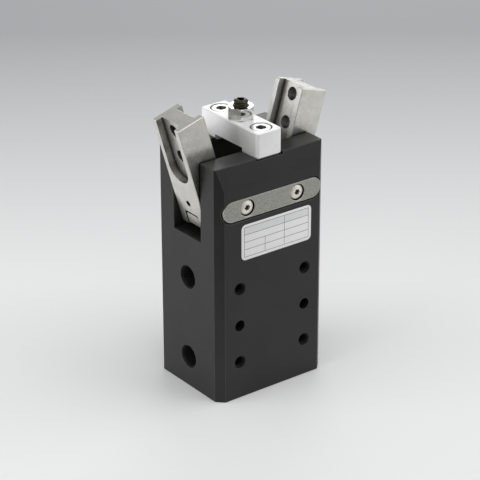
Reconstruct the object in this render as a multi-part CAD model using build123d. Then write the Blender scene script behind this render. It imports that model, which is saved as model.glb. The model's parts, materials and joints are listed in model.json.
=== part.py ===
from build123d import *
import os
from math import acos, cos, degrees, hypot, pi, radians, sin, tan

# Angular gripper: a double-acting cylinder lifts a double rack, and the rack swings two jaws.
# X is the way the jaws open, Y is the depth of the housing, and Z points up from its base.
# Every length is in millimetres and every angle in degrees.

# Working angles of one jaw, from the closed position
open_angle = 90.0
rest_angle = 16.5

# Housing block
housing_width = 54.0
housing_depth = 42.0
corner_chamfer = 3.1
wall_above_pivot = 18.7
bevel_depth = 2.4
bevel_height = 9.5
slot_width = 18.0
edge_break = 0.25

# Gearing between the rack and the jaws
tooth_module = 1.0
pinion_teeth = 20
pressure_angle = 20.0
addendum = 1.0
dedendum = 1.25
backlash = 0.12
rack_pitch_half_width = 10.0
rack_thickness = 7.6
rack_head_top = 4.1
rack_end_clearance = 0.65
rack_pocket_corner = 1.0

# Jaws
jaw_thickness = 13.0
jaw_side_clearance = 0.3
jaw_top = 37.5
jaw_tail = 11.7
jaw_edge_break = 0.3
jaw_swing_clearance = 2.1
outer_pocket_width = 12.3
outer_pocket_depth = 3.2
finger_channel_width = 12.2
finger_channel_depth = 3.0
pocket_length = 27.2
finger_hole_radius = 2.75
finger_hole_from_top = 4.5
finger_hole_pitch = 12.0
fork_clearance = 0.5
fork_gap = 0.7

# Toothed quadrants
hub_radius = 4.7
hub_clearance = 0.05
quadrant_top_angle = 47.0
quadrant_end_clearance = 3.0
quadrant_tail_inset = 1.4
quadrant_corner_radius = 1.0
quadrant_offset = 0.4
quadrant_pin_radius = 1.0
quadrant_pin_angles = (-45.0, -85.0)

# Jaw pivots
pivot_pin_radius = 3.0
pivot_pin_break = 0.4
pivot_pin_end_clearance = 0.3
bush_wall = 1.0
bush_end_clearance = 0.5
running_clearance = 0.03
fixed_clearance = 0.02
pin_lock_radius = 1.25
pin_lock_sink = 0.8
pin_lock_socket = 1.3
pin_lock_socket_depth = 1.2

# Plate over the front ends of the pivot pins
cover_plate_height = 9.0
cover_plate_thickness = 2.5
cover_plate_gap = 0.45
plate_screw_radius = 1.5
plate_screw_to_bush = 2.0
plate_screw_end_wall = 3.2
plate_head_radius = 2.85
plate_head_height = 1.6
plate_head_crown = 0.72
plate_head_clearance = 0.65
plate_socket_across_flats = 2.0
plate_socket_depth = 1.2
plate_counterbore_depth = 1.8
shank_clearance = 0.1

# Bridge over the slot
bridge_width = 12.4
bridge_overhang = 0.1
bridge_rise = 10.1
bridge_corner_radius = 1.3
bridge_top_break = 0.35
bridge_foot_break = 1.0
notch_depth = 1.2
notch_clearance = 0.5
bridge_screw_inset = 0.7
bridge_screw_radius = 2.5
bridge_screw_engagement = 10.0
bridge_screw_play = 0.2
bridge_hole_extra_depth = 2.0
bridge_head_radius = 4.25
bridge_head_height = 5.0
bridge_head_break = 0.4
bridge_head_clearance = 0.35
bridge_head_sink = 0.2
bridge_socket_across_flats = 4.0
bridge_relief_gap = 0.25

# Stop screw and its lock nut
stop_screw_radius = 3.0
stop_gap = 0.2
stop_screw_stand_out = 3.5
stop_screw_point = 0.7
stop_socket_across_flats = 3.0
stop_socket_depth = 3.5
nut_across_flats = 10.0
nut_height = 5.0
nut_mouth_widening = 0.5
nut_turn = 53.0

# Cylinder
bore_radius = 16.0
chamber_annulus = 3.0
bumper_rod_clearance = 2.5
bumper_gap = 0.3
lower_bumper_height = 7.7
upper_bumper_height = 6.4
bumper_spigot_height = 3.5
bumper_fit = 0.1

# Piston
piston_height = 13.6
piston_clearance = 0.1
piston_groove_depth = 3.3
piston_seal_height = 2.6
piston_seal_inset = 1.3
seal_clearance = 0.04
magnet_height = 3.2
magnet_sink = 0.4
piston_screw_radius = 3.0
piston_screw_length = 16.0
piston_head_radius = 5.0
piston_head_height = 6.0
piston_head_sink = 0.2
piston_head_clearance = 0.3
piston_socket_across_flats = 5.0
piston_recess_depth = 3.0
rod_tapping_extra_depth = 1.0

# Rod and its guide
rod_radius = 6.0
rod_bush_wall = 2.0
rod_bush_length = 6.3
rod_bush_sink = 0.3
rod_seal_width = 2.8
rod_seal_height = 2.4
rod_land = 0.9
rod_land_clearance = 0.2
rod_end_break = 0.4

# End cover, its seal ring and its retaining ring
cover_overlap = 1.0
cover_thickness = 7.2
circlip_from_base = 1.2
circlip_thickness = 1.5
circlip_side_clearance = 0.1
circlip_groove_depth = 1.0
circlip_ring_width = 2.5
circlip_gap_half_angle = 14.0
circlip_lug_angle = 6.0
circlip_lug_radius = 2.1
circlip_eye_radius = 1.0
cover_ring_section = 1.7
cover_ring_groove_width = 2.3
cover_ring_play = 0.3
cover_ring_corner = 0.4

# Air ports
port_radius = 4.4
port_mouth_widening = 0.7
port_depth = 8.0
air_passage_radius = 1.5
lower_port_above_cover = 3.6
upper_port_below_bore_top = 4.1

# Mounting holes
thread_radius = 2.1
thread_mouth_widening = 0.8
thread_mouth_half_angle = 60.0
thread_depth = 9.0
dowel_hole_radius = 2.5
dowel_hole_depth = 6.0
front_hole_x = 16.5
rear_hole_x = 19.0
side_hole_first_z = 16.5
side_hole_pitch = 16.5
base_hole_inset = 5.5

# Sensor grooves
sensor_groove_radius = 2.0
sensor_mouth_width = 2.8
sensor_groove_sink = 2.7
sensor_groove_y = 6.0
sensor_groove_bottom = 6.0

# Gearing worked out from the sizes above
pitch_radius = tooth_module * pinion_teeth / 2
base_radius = pitch_radius * cos(radians(pressure_angle))
tip_radius = pitch_radius + addendum * tooth_module
root_radius = pitch_radius - dedendum * tooth_module
circular_pitch = pi * tooth_module
tooth_angle = 360.0 / pinion_teeth
rack_tip_half = rack_pitch_half_width + addendum * tooth_module
rack_root_half = rack_pitch_half_width - dedendum * tooth_module
pivot_x = rack_pitch_half_width + pitch_radius
open_travel = pitch_radius * radians(open_angle)
rest_travel = pitch_radius * radians(rest_angle)
meshing_teeth = round(open_angle / tooth_angle)
rack_gaps = range(-1, meshing_teeth + 2)
rack_gap_root_half = circular_pitch / 4 - dedendum * tooth_module * tan(radians(pressure_angle))
rack_gap_tip_half = circular_pitch / 4 + addendum * tooth_module * tan(radians(pressure_angle))
rack_foot = (meshing_teeth + 1) * circular_pitch - rack_gap_root_half

# Levels of the cylinder, from the base up
circlip_groove_width = circlip_thickness + circlip_side_clearance
bore_bottom = circlip_from_base + circlip_groove_width + cover_thickness
piston_low = bore_bottom + lower_bumper_height + bumper_gap
bore_top = piston_low + piston_height + open_travel + bumper_gap + upper_bumper_height
rod_seal_low = bore_top + rod_land
rod_bush_low = rod_seal_low + rod_seal_height + rod_land
rack_pocket_floor = rod_bush_low + rod_bush_length + rod_bush_sink
lower_port_z = bore_bottom + lower_port_above_cover
upper_port_z = bore_top - upper_port_below_bore_top

# Levels of the jaws, the slot and the bridge
pivot_z = rack_pocket_floor + rack_end_clearance + rack_foot
slot_floor = pivot_z - hypot(jaw_thickness / 2, jaw_tail) - jaw_swing_clearance
housing_top = pivot_z + wall_above_pivot
rack_top_open = pivot_z + rack_head_top + open_travel
bridge_foot = housing_top - notch_depth
bridge_underside = max(rack_top_open + bridge_relief_gap, bridge_foot)
bridge_top = housing_top + bridge_rise

# Half sizes that several pieces share
half_width = housing_width / 2
half_depth = housing_depth / 2
half_slot = slot_width / 2
half_jaw = jaw_thickness / 2
half_jaw_width = half_slot - jaw_side_clearance
half_rack = rack_thickness / 2
half_fork = half_rack + fork_clearance
bush_radius = pivot_pin_radius + bush_wall
bush_length = half_depth - half_slot - cover_plate_thickness - bush_end_clearance
bumper_outer = bore_radius - chamber_annulus
bumper_inner = rod_radius + bumper_rod_clearance
cover_radius = bore_radius + cover_overlap
quadrant_tail = jaw_tail - quadrant_tail_inset
plate_seat_y = -half_depth + cover_plate_thickness
plate_counterbore_radius = plate_head_radius + plate_head_clearance
plate_screw_spacing = 2 * (pivot_x - bush_radius - plate_screw_to_bush - plate_screw_radius)
plate_screw_length = half_depth - plate_counterbore_depth - half_slot - plate_screw_end_wall
side_hole_levels = [side_hole_first_z + row * side_hole_pitch for row in range(3)]
wall_top_edge = half_depth - bevel_depth
bridge_length = 2 * (wall_top_edge + bridge_overhang)
bridge_screw_y = (half_slot + wall_top_edge) / 2 - bridge_screw_inset
bridge_counterbore_radius = bridge_head_radius + bridge_head_clearance


def block(low, high):
    """A box between two opposite corners."""
    middle = [(a + b) / 2 for a, b in zip(low, high)]
    size = [b - a for a, b in zip(low, high)]
    return Pos(*middle) * Box(*size)


def round_bar(start, direction, radius, length):
    """A cylinder that starts at a point and runs along a direction."""
    seat = Plane(origin=start, z_dir=direction)
    return seat * Cylinder(radius, length, align=(Align.CENTER, Align.CENTER, Align.MIN))


def tapered_mouth(start, direction, hole_radius, widening, half_angle=45.0):
    """The chamfer at the mouth of a hole, as a cone to cut away."""
    depth = widening / tan(radians(half_angle))
    seat = Plane(origin=start, z_dir=direction)
    return seat * Cone(
        hole_radius + widening, hole_radius, depth, align=(Align.CENTER, Align.CENTER, Align.MIN)
    )


def ring(inner, outer, low, high):
    """A plain ring round the Z axis."""
    whole = round_bar((0, 0, low), (0, 0, 1), outer, high - low)
    return whole - round_bar((0, 0, low), (0, 0, 1), inner, high - low)


def turned(profile):
    """A solid turned about the Z axis from (radius, height) points."""
    face = make_face(Plane.XZ * Polyline(*profile, close=True))
    return revolve(face, Axis.Z)


def plate_from(outline, half_thickness):
    """A flat piece, the same either side of the XZ plane, from an outline of lines and arcs."""
    face = make_face(Plane.XZ * outline)
    return extrude(face, half_thickness, both=True)


def hexagon_bar(across_flats, low, high, turn=0.0):
    """A hexagonal prism round the Z axis with one corner at the given angle."""
    face = RegularPolygon(across_flats / 2, 6, major_radius=False, rotation=turn)
    return extrude(Pos(0, 0, low) * face, high - low)


def polar(radius, angle):
    """A point of an outline by its radius and its angle in degrees."""
    return (radius * cos(radians(angle)), radius * sin(radians(angle)))


def arc_about_origin(radius, start_angle, end_angle):
    """An arc of an outline round the pivot."""
    middle = (start_angle + end_angle) / 2
    return ThreePointArc(polar(radius, start_angle), polar(radius, middle), polar(radius, end_angle))


def threaded_hole(mouth, direction, depth):
    """A tapped hole with a countersunk mouth, as a solid to cut away."""
    hole = round_bar(mouth, direction, thread_radius, depth)
    countersink = tapered_mouth(
        mouth, direction, thread_radius, thread_mouth_widening, thread_mouth_half_angle
    )
    return hole + countersink


# Housing

def housing_block():
    """The outer block with its cut corners and the bevels on the tops of both walls."""
    outline = Rectangle(housing_width, housing_depth)
    outline = chamfer(outline.vertices(), corner_chamfer)
    solid = extrude(outline, housing_top)
    over = 1.0
    slope = bevel_depth / bevel_height
    for side in (-1, 1):
        wedge = Polyline(
            (side * half_depth, housing_top - bevel_height),
            (side * (half_depth + over), housing_top - bevel_height),
            (side * (half_depth + over), housing_top + over),
            (side * (half_depth - bevel_depth - slope * over), housing_top + over),
            close=True,
        )
        solid -= extrude(make_face(Plane.YZ * wedge), housing_width, both=True)
    return solid


def jaw_slot():
    """The slot that the jaws swing in, with the pocket in its floor for the end of the rack."""
    slot = block((-housing_width, -half_slot, slot_floor), (housing_width, half_slot, housing_top + 1))
    pocket_face = RectangleRounded(
        2 * (rack_tip_half + rack_end_clearance),
        2 * (half_rack + rack_end_clearance),
        rack_pocket_corner,
    )
    pocket = extrude(Pos(0, 0, rack_pocket_floor) * pocket_face, slot_floor + 1 - rack_pocket_floor)
    return slot + pocket


def cylinder_bores():
    """The bore, the seat of the end cover and the stepped hole of the rod."""
    bush_radius_outside = rod_radius + rod_bush_wall + fixed_clearance
    land_radius = rod_radius + rod_land_clearance
    cuts = round_bar((0, 0, -1), (0, 0, 1), cover_radius, bore_bottom + 1)
    cuts += round_bar((0, 0, bore_bottom), (0, 0, 1), bore_radius, bore_top - bore_bottom)
    groove_radius = cover_radius + circlip_groove_depth
    cuts += round_bar((0, 0, circlip_from_base), (0, 0, 1), groove_radius, circlip_groove_width)
    cuts -= ring(land_radius, bumper_inner - bumper_fit, bore_top - bumper_spigot_height, bore_top)
    cuts += round_bar((0, 0, bore_top - 1), (0, 0, 1), land_radius, rod_bush_low - bore_top + 2)
    seal_radius = rod_radius + rod_seal_width + seal_clearance
    cuts += round_bar((0, 0, rod_seal_low), (0, 0, 1), seal_radius, rod_seal_height)
    cuts += round_bar((0, 0, rod_bush_low), (0, 0, 1), bush_radius_outside, slot_floor + 1 - rod_bush_low)
    return cuts


def pivot_bores():
    """The bores for the pivot bushes: through the front wall and blind in the rear wall."""
    cuts = Part()
    length = half_depth + half_slot + bush_length + bush_end_clearance
    for side in (-1, 1):
        mouth = (side * pivot_x, -half_depth, pivot_z)
        cuts += round_bar(mouth, (0, 1, 0), bush_radius + fixed_clearance, length)
    return cuts


def cover_plate_recess():
    """The recess of the front plate and the tapped holes of its two screws."""
    face = SlotOverall(
        2 * pivot_x + cover_plate_height + 2 * cover_plate_gap, cover_plate_height + 2 * cover_plate_gap
    )
    cuts = Pos(0, plate_seat_y, pivot_z) * Rot(90, 0, 0) * extrude(face, cover_plate_thickness + 1)
    for side in (-1, 1):
        start = (side * plate_screw_spacing / 2, plate_seat_y, pivot_z)
        cuts += round_bar(start, (0, 1, 0), plate_screw_radius, plate_screw_length)
    return cuts


def bridge_notches():
    """The shallow notches that seat the bridge, and the tapped holes under its screws."""
    half = bridge_width / 2 + notch_clearance
    cuts = block((-half, -housing_depth, bridge_foot), (half, housing_depth, housing_top + 1))
    for side in (-1, 1):
        start = (0, side * bridge_screw_y, bridge_foot)
        depth = bridge_screw_engagement + bridge_hole_extra_depth
        cuts += round_bar(start, (0, 0, -1), bridge_screw_radius, depth)
    return cuts


def air_ports():
    """The two tapped ports on the narrow side and the passages that lead from them into the bore."""
    cuts = Part()
    for level in (lower_port_z, upper_port_z):
        mouth = (-half_width, 0, level)
        cuts += round_bar(mouth, (1, 0, 0), port_radius, port_depth)
        cuts += tapered_mouth(mouth, (1, 0, 0), port_radius, port_mouth_widening)
        cuts += round_bar(mouth, (1, 0, 0), air_passage_radius, half_width - bore_radius + 1)
    return cuts


def mounting_holes():
    """Six holes in each wide face, four of them tapped, and four tapped holes in the base."""
    cuts = Part()
    for side, hole_x in ((-1, front_hole_x), (1, rear_hole_x)):
        for across in (-hole_x, hole_x):
            for row, level in enumerate(side_hole_levels):
                mouth = (across, side * half_depth, level)
                if row == 1:
                    cuts += round_bar(mouth, (0, -side, 0), dowel_hole_radius, dowel_hole_depth)
                else:
                    cuts += threaded_hole(mouth, (0, -side, 0), thread_depth)
    for x in (base_hole_inset - half_width, half_width - base_hole_inset):
        for y in (base_hole_inset - half_depth, half_depth - base_hole_inset):
            cuts += threaded_hole((x, y, 0), (0, 0, 1), thread_depth)
    return cuts


def sensor_grooves():
    """Two round-bottomed grooves beside the bore for magnetic switches."""
    cuts = Part()
    length = bore_top - sensor_groove_bottom
    for side in (-1, 1):
        y = side * sensor_groove_y
        start = (half_width - sensor_groove_sink, y, sensor_groove_bottom)
        cuts += round_bar(start, (0, 0, 1), sensor_groove_radius, length)
        cuts += block(
            (half_width - sensor_groove_sink, y - sensor_mouth_width / 2, sensor_groove_bottom),
            (half_width + 1, y + sensor_mouth_width / 2, sensor_groove_bottom + length),
        )
    return cuts


def outer_edges(solid):
    """The edges of the base, of the wall tops and of the open ends of the slot."""
    chosen = []
    for edge in solid.edges():
        box, middle = edge.bounding_box(), edge.center()
        on_base = box.max.Z < edge_break
        on_top = box.min.Z > housing_top - edge_break
        on_end = abs(abs(middle.X) - half_width) < edge_break
        beside_slot = abs(middle.Y) < half_slot + edge_break and middle.Z > slot_floor - edge_break
        if on_base or on_top or (on_end and beside_slot):
            chosen.append(edge)
    return chosen


def recess_rim(solid):
    """The edges of the plate recess in the front face."""
    front = solid.faces().filter_by(Axis.Y).sort_by(Axis.Y)[0]
    return [edge for edge in front.edges() if abs(edge.center().Z - pivot_z) < cover_plate_height]


def housing():
    """The one-piece housing: cylinder below, two slotted walls above."""
    solid = housing_block() - jaw_slot()
    solid = chamfer(outer_edges(solid), edge_break)
    solid -= cover_plate_recess()
    solid = chamfer(recess_rim(solid), edge_break)
    solid = solid - cylinder_bores() - pivot_bores() - bridge_notches() - air_ports()
    return solid - mounting_holes() - sensor_grooves()


# Pieces fixed to the top of the housing

def cover_plate():
    """The round-ended plate that closes the front ends of the pivot bores."""
    face = SlotOverall(2 * pivot_x + cover_plate_height, cover_plate_height)
    solid = Pos(0, plate_seat_y, pivot_z) * Rot(90, 0, 0) * extrude(face, cover_plate_thickness)
    for side in (-1, 1):
        mouth = (side * plate_screw_spacing / 2, -half_depth, pivot_z)
        solid -= round_bar(mouth, (0, 1, 0), plate_counterbore_radius, plate_counterbore_depth)
        solid -= round_bar(mouth, (0, 1, 0), plate_screw_radius + shank_clearance, cover_plate_thickness)
    return chamfer(solid.faces().sort_by(Axis.Y)[0].edges(), edge_break)


def plate_screws():
    """Two low round-headed screws with a socket."""
    shank = plate_screw_radius - fixed_clearance
    rim = (plate_head_radius, plate_head_height - plate_head_crown)
    sides = Polyline(
        (0, plate_head_height), (0, -plate_screw_length), (shank, -plate_screw_length), (shank, 0),
        (plate_head_radius, 0), rim,
    )
    crown = TangentArc((0, plate_head_height), rim, tangent=(1, 0))
    screw = revolve(make_face(Plane.XZ * Curve([*sides.edges(), crown])), Axis.Z)
    screw -= hexagon_bar(
        plate_socket_across_flats, plate_head_height - plate_socket_depth, plate_head_height + 1
    )
    seat_y = -half_depth + plate_counterbore_depth
    across = plate_screw_spacing / 2
    return [Pos(side * across, seat_y, pivot_z) * Rot(90, 0, 0) * screw for side in (-1, 1)]


def bridge_bar():
    """The bar across the slot: two feet, a relieved middle and two counterbored screw holes."""
    face = RectangleRounded(bridge_width, bridge_length, bridge_corner_radius)
    solid = extrude(Pos(0, 0, bridge_foot) * face, bridge_top - bridge_foot)
    solid = chamfer(solid.faces().sort_by(Axis.Z)[-1].edges(), bridge_top_break)
    solid = chamfer(solid.faces().sort_by(Axis.Z)[0].edges(), bridge_foot_break)
    solid -= block((-bridge_width, -half_slot, bridge_foot - 1), (bridge_width, half_slot, bridge_underside))
    sink = bridge_head_height + bridge_head_sink
    shank_hole = bridge_screw_radius + bridge_screw_play
    for side in (-1, 1):
        top = (0, side * bridge_screw_y, bridge_top)
        solid -= round_bar(top, (0, 0, -1), bridge_counterbore_radius, sink)
        solid -= round_bar(top, (0, 0, -1), shank_hole, bridge_top - bridge_foot)
    return solid - round_bar((0, 0, bridge_foot), (0, 0, 1), stop_screw_radius, bridge_top - bridge_foot)


def bridge_screws():
    """Two socket head cap screws that hold the bridge to the walls."""
    head_low = bridge_top - bridge_head_sink - bridge_head_height
    shank_low = bridge_foot - bridge_screw_engagement
    screw = round_bar((0, 0, head_low), (0, 0, 1), bridge_head_radius, bridge_head_height)
    screw = chamfer(screw.faces().sort_by(Axis.Z)[-1].edges(), bridge_head_break)
    screw -= hexagon_bar(bridge_socket_across_flats, head_low + bridge_head_height / 2, bridge_top)
    shank_radius = bridge_screw_radius - fixed_clearance
    screw += round_bar((0, 0, shank_low), (0, 0, 1), shank_radius, head_low - shank_low)
    return [Pos(0, side * bridge_screw_y, 0) * screw for side in (-1, 1)]


def stop_screw():
    """The set screw in the middle of the bridge that limits how far the rack rises."""
    radius = stop_screw_radius - fixed_clearance
    low = rack_top_open + stop_gap
    high = bridge_top + nut_height + stop_screw_stand_out
    screw = round_bar((0, 0, low), (0, 0, 1), radius, high - low)
    screw = chamfer(screw.faces().sort_by(Axis.Z)[-1].edges(), stop_screw_point)
    return screw - hexagon_bar(stop_socket_across_flats, high - stop_socket_depth, high + 1)


def lock_nut():
    """The hexagon nut that locks the stop screw, with both faces chamfered."""
    corner = nut_across_flats / 2 / cos(radians(30))
    bevel = (corner - nut_across_flats / 2) * tan(radians(30))
    high = bridge_top + nut_height
    nut = hexagon_bar(nut_across_flats, bridge_top, high, nut_turn)
    nut &= turned([
        (0, bridge_top), (nut_across_flats / 2, bridge_top), (corner, bridge_top + bevel),
        (corner, high - bevel), (nut_across_flats / 2, high), (0, high),
    ])
    nut -= round_bar((0, 0, bridge_top), (0, 0, 1), stop_screw_radius, nut_height)
    return nut - tapered_mouth((0, 0, high), (0, 0, -1), stop_screw_radius, nut_mouth_widening)


def pivot_bushes(front):
    """Two plain bushes, one for each jaw, pressed into one wall."""
    direction = -1 if front else 1
    bushes = []
    for side in (-1, 1):
        start = (side * pivot_x, direction * half_slot, pivot_z)
        bush = round_bar(start, (0, direction, 0), bush_radius, bush_length)
        bore = pivot_pin_radius + running_clearance
        bushes.append(bush - round_bar(start, (0, direction, 0), bore, bush_length))
    return bushes


# Jaws, modelled closed with the pivot at the origin, X towards the middle and Z up

def milled_pocket(width, low_x, high_x):
    """A pocket that is open at the top of the jaw and ends below in the round of its cutter."""
    end_centre = jaw_top - pocket_length + width / 2
    box = block((low_x, -width / 2, end_centre), (high_x, width / 2, jaw_top + 1))
    return box + round_bar((low_x, 0, end_centre), (1, 0, 0), width / 2, high_x - low_x)


def fork_outline():
    """The gap of the fork at the lower end of the jaw, bounded by the round hub of the pivot."""
    out = half_jaw + 1
    top_angle = quadrant_top_angle + quadrant_end_clearance
    hub_end = polar(hub_radius, top_angle)
    mouth_z = out * tan(radians(top_angle))
    sides = Polyline(
        (out, mouth_z), (out, -jaw_tail - 1), (-out, -jaw_tail - 1), (-out, -hub_radius), (0, -hub_radius)
    )
    hub_arc = arc_about_origin(hub_radius, -90.0, top_angle)
    return Curve([*sides.edges(), hub_arc, Line(hub_end, (out, mouth_z))])


def jaw():
    """One jaw: finger channel inside, lightening pocket outside, fork for the quadrant below."""
    solid = block((-half_jaw, -half_jaw_width, -jaw_tail), (half_jaw, half_jaw_width, jaw_top))
    solid = chamfer(solid.edges(), jaw_edge_break)
    solid -= milled_pocket(outer_pocket_width, -half_jaw - 1, -half_jaw + outer_pocket_depth)
    solid -= milled_pocket(finger_channel_width, half_jaw - finger_channel_depth, half_jaw + 1)
    for hole in range(2):
        level = jaw_top - finger_hole_from_top - hole * finger_hole_pitch
        solid -= round_bar((-half_jaw, 0, level), (1, 0, 0), finger_hole_radius, jaw_thickness)
    solid -= plate_from(fork_outline(), half_fork)
    pin_hole = pivot_pin_radius + fixed_clearance
    solid -= round_bar((0, -half_jaw_width, 0), (0, 1, 0), pin_hole, 2 * half_jaw_width)
    solid -= round_bar((-half_jaw, 0, 0), (1, 0, 0), pin_lock_radius + fixed_clearance, half_jaw)
    for angle in quadrant_pin_angles:
        solid -= quadrant_pin(angle, quadrant_pin_radius + fixed_clearance)
    return solid


def quadrant_pin(angle, radius):
    """A dowel across the fork, midway between the hub and the roots of the teeth."""
    x, z = polar((hub_radius + root_radius) / 2, angle)
    half_length = half_jaw_width - jaw_edge_break
    return round_bar((x, -half_length, z), (0, 1, 0), radius, 2 * half_length)


def involute(angle):
    """The involute function of a pressure angle in radians."""
    return tan(angle) - angle


def half_tooth_angle(radius):
    """Half the angle, in degrees, that a tooth fills at a radius on its involute flank."""
    thickness = circular_pitch / 2 - backlash
    at_pitch = thickness / 2 / pitch_radius + involute(radians(pressure_angle))
    return degrees(at_pitch - involute(acos(min(1.0, base_radius / radius))))


def tooth_outline(centre):
    """One tooth, passed clockwise: up its first flank, over its tip and down its second."""
    foot = half_tooth_angle(base_radius)
    middle_radius = (base_radius + tip_radius) / 2
    waist = half_tooth_angle(middle_radius)
    crest = half_tooth_angle(tip_radius)
    flank = [(base_radius, foot), (middle_radius, waist), (tip_radius, crest)]
    rising = [polar(radius, centre + half) for radius, half in flank]
    falling = [polar(radius, centre - half) for radius, half in reversed(flank)]
    return [
        Line(polar(root_radius, centre + foot), rising[0]),
        ThreePointArc(*rising),
        arc_about_origin(tip_radius, centre + crest, centre - crest),
        ThreePointArc(*falling),
        Line(falling[-1], polar(root_radius, centre - foot)),
    ]


def quadrant():
    """The hardened toothed segment that wraps the hub and sits against the front arm of the fork."""
    inner = hub_radius + hub_clearance
    foot = half_tooth_angle(base_radius)
    angle = quadrant_top_angle
    outline = [Line(polar(inner, angle), polar(root_radius, angle))]
    for tooth in range(-1, meshing_teeth + 2):
        centre = -tooth * tooth_angle
        outline.append(arc_about_origin(root_radius, angle, centre + foot))
        outline.extend(tooth_outline(centre))
        angle = centre - foot
    tail_angle = -(meshing_teeth + 1.5) * tooth_angle
    outline.append(arc_about_origin(root_radius, angle, tail_angle))
    tooth_end = polar(root_radius, tail_angle)
    block_top = -hub_radius - fork_gap
    outline.extend(Polyline(
        tooth_end, (tooth_end[0], -quadrant_tail), (-half_jaw, -quadrant_tail),
        (-half_jaw, block_top), (0, block_top), (0, -inner),
    ).edges())
    outline.append(arc_about_origin(inner, -90.0, quadrant_top_angle))
    solid = Pos(0, -quadrant_offset, 0) * plate_from(Curve(outline), half_rack)
    top_edges = solid.edges().filter_by(Axis.X).filter_by_position(Axis.Z, block_top - 0.01, block_top + 0.01)
    solid = fillet(top_edges, quadrant_corner_radius)
    for pin_angle in quadrant_pin_angles:
        solid -= quadrant_pin(pin_angle, quadrant_pin_radius + fixed_clearance)
    return solid


def pivot_pin():
    """The pin that turns with the jaw in the bushes of both walls."""
    half_length = -plate_seat_y - pivot_pin_end_clearance
    pin = round_bar((0, -half_length, 0), (0, 1, 0), pivot_pin_radius, 2 * half_length)
    return chamfer(pin.faces().filter_by(Axis.Y).edges(), pivot_pin_break)


def pin_lock_screw():
    """The small set screw that locks the pivot pin in the jaw."""
    start = (-half_jaw + pin_lock_sink, 0, 0)
    length = half_jaw - pin_lock_sink - pivot_pin_radius - fixed_clearance
    screw = round_bar(start, (1, 0, 0), pin_lock_radius, length)
    return screw - Pos(*start) * Rot(0, 90, 0) * hexagon_bar(pin_lock_socket, 0, pin_lock_socket_depth)


def placed_left(solid):
    """A piece of the closed jaw, swung to the rest angle and put on the left pivot."""
    return Pos(-pivot_x, 0, pivot_z) * Rot(0, -rest_angle, 0) * solid


def placed_right(solid):
    """The mirror image of the left piece, on the right pivot."""
    return mirror(placed_left(solid), about=Plane.YZ)


# Rod and piston, modelled with the jaws closed

def rack_outline():
    """The double rack: a bar with a row of tooth gaps down each edge."""
    right = [(rack_root_half, -rack_foot)]
    for gap in reversed(rack_gaps):
        centre = -gap * circular_pitch
        corners = [
            (rack_tip_half, centre - rack_gap_tip_half),
            (rack_root_half, centre - rack_gap_root_half),
            (rack_root_half, centre + rack_gap_root_half),
            (rack_tip_half, centre + rack_gap_tip_half),
        ]
        right.extend(corner for corner in corners if -rack_foot < corner[1] < rack_head_top)
    right.append((rack_root_half, rack_head_top))
    left = [(-x, z) for x, z in reversed(right)]
    return Polyline(*right, *left, close=True)


def rack_rod():
    """The double rack and the round piston rod below it, one piece."""
    rack = Pos(0, 0, pivot_z) * plate_from(rack_outline(), half_rack)
    rod_low = piston_low + piston_height - piston_recess_depth
    rod = round_bar((0, 0, rod_low), (0, 0, 1), rod_radius, pivot_z - rack_foot + 1 - rod_low)
    rod = chamfer(rod.faces().sort_by(Axis.Z)[0].edges(), rod_end_break)
    depth = piston_screw_length - (rod_low - piston_web_low()) + rod_tapping_extra_depth
    return rack + rod - round_bar((0, 0, rod_low), (0, 0, 1), piston_screw_radius, depth)


def piston_web_low():
    """The level of the seat under the head of the piston screw."""
    return piston_low + piston_head_height + piston_head_sink


def piston():
    """The piston: two seal grooves, a magnet groove, a seat for the rod and one for the screw."""
    outer = bore_radius - piston_clearance
    groove = outer - piston_groove_depth
    high = piston_low + piston_height
    solid = round_bar((0, 0, piston_low), (0, 0, 1), outer, piston_height)
    for low in piston_seal_levels():
        solid -= ring(groove, outer + 1, low, low + piston_seal_height)
    magnet_low = piston_low + (piston_height - magnet_height) / 2
    solid -= ring(groove, outer + 1, magnet_low, magnet_low + magnet_height)
    solid -= round_bar((0, 0, high), (0, 0, -1), rod_radius + fixed_clearance, piston_recess_depth)
    solid -= round_bar((0, 0, piston_low), (0, 0, 1), piston_screw_radius + shank_clearance, piston_height)
    head_seat = piston_head_radius + piston_head_clearance
    return solid - round_bar((0, 0, piston_low), (0, 0, 1), head_seat, piston_web_low() - piston_low)


def piston_seal_levels():
    """The lower edges of the two seal grooves of the piston."""
    upper = piston_low + piston_height - piston_seal_inset - piston_seal_height
    return (piston_low + piston_seal_inset, upper)


def lip_seal(inner, outer, low, height, lips_up):
    """A grooved lip seal turned about the Z axis."""
    middle = (inner + outer) / 2
    width = outer - inner
    profile = [
        (inner, 0), (outer, 0), (outer, height), (outer - width * 0.25, height),
        (middle, height * 0.5), (inner + width * 0.25, height), (inner, height),
    ]
    if lips_up:
        return turned([(r, low + z) for r, z in profile])
    return turned([(r, low + height - z) for r, z in reversed(profile)])


def piston_seals():
    """One lip seal for each side of the piston."""
    inner = bore_radius - piston_clearance - piston_groove_depth + seal_clearance
    outer = bore_radius - seal_clearance
    height = piston_seal_height - 2 * seal_clearance
    lower, upper = piston_seal_levels()
    return [
        lip_seal(inner, outer, lower + seal_clearance, height, lips_up=False),
        lip_seal(inner, outer, upper + seal_clearance, height, lips_up=True),
    ]


def magnet_ring():
    """The magnet in the piston that the switches in the sensor grooves find."""
    inner = bore_radius - piston_clearance - piston_groove_depth + fixed_clearance
    outer = bore_radius - piston_clearance - magnet_sink
    low = piston_low + (piston_height - magnet_height) / 2 + fixed_clearance
    return ring(inner, outer, low, low + magnet_height - 2 * fixed_clearance)


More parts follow.
